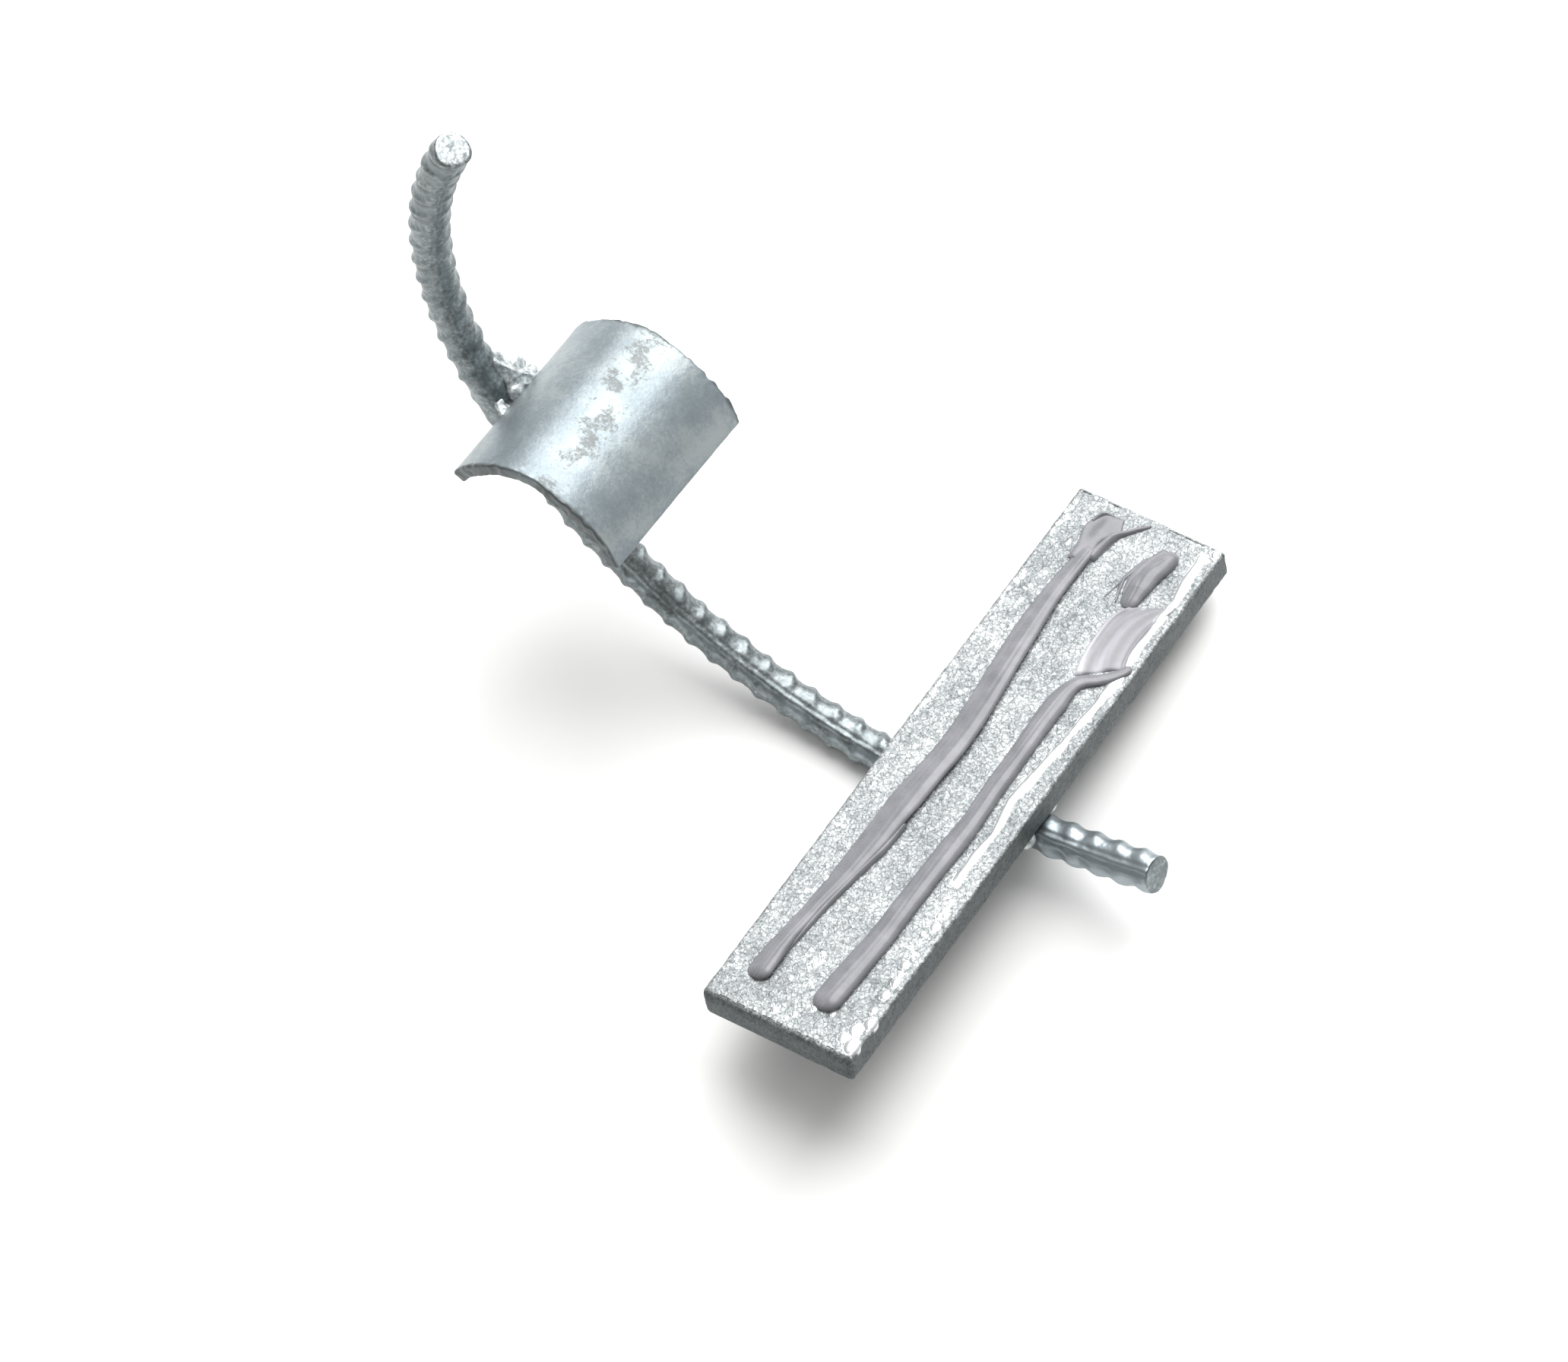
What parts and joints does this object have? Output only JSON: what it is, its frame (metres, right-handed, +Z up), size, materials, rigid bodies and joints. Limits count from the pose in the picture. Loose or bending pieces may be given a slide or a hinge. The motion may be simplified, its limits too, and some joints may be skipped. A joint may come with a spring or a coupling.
{
  "type": "galvanised anchor paddle",
  "caption": "Galvanised steel weldment: a hooked ribbed bar carrying a half-pipe saddle and a flat cross plate with grey sealant beads.",
  "frame": {"origin": "bottom centre of the bounding box, on the table that the piece lies on", "axes": "+X from the hook's side towards the bar's stub, +Y along the plate towards its end that touches the table, +Z up"},
  "size_m": [0.2068, 0.1606, 0.153],
  "materials": {
    "galvanised_bar": "hot-dip galvanised, dull grey over rolled ribs",
    "galvanised_tube": "hot-dip galvanised, satin blue-grey",
    "galvanised_flat": "hot-dip galvanised, fine speckled spangle",
    "galvanised_weld": "zinc-coated weld metal, lumpy",
    "grey_sealant": "cured grey sealant, soft sheen",
    "sealant_film": "thin scraped film of the same sealant, paler"
  },
  "bodies": {
    "root": {"ribbed_bar": "galvanised_bar", "half_pipe_saddle": "galvanised_tube", "cross_plate": "galvanised_flat", "plate_weld_near": "galvanised_weld", "plate_weld_far": "galvanised_weld", "saddle_weld_web": "galvanised_weld", "saddle_weld_tack": "galvanised_weld", "sealant_bead_left": "grey_sealant", "sealant_bead_right": "grey_sealant", "sealant_bead_end": "grey_sealant", "sealant_film": "sealant_film", "sealant_smear": "grey_sealant"}
  },
  "joints": []
}
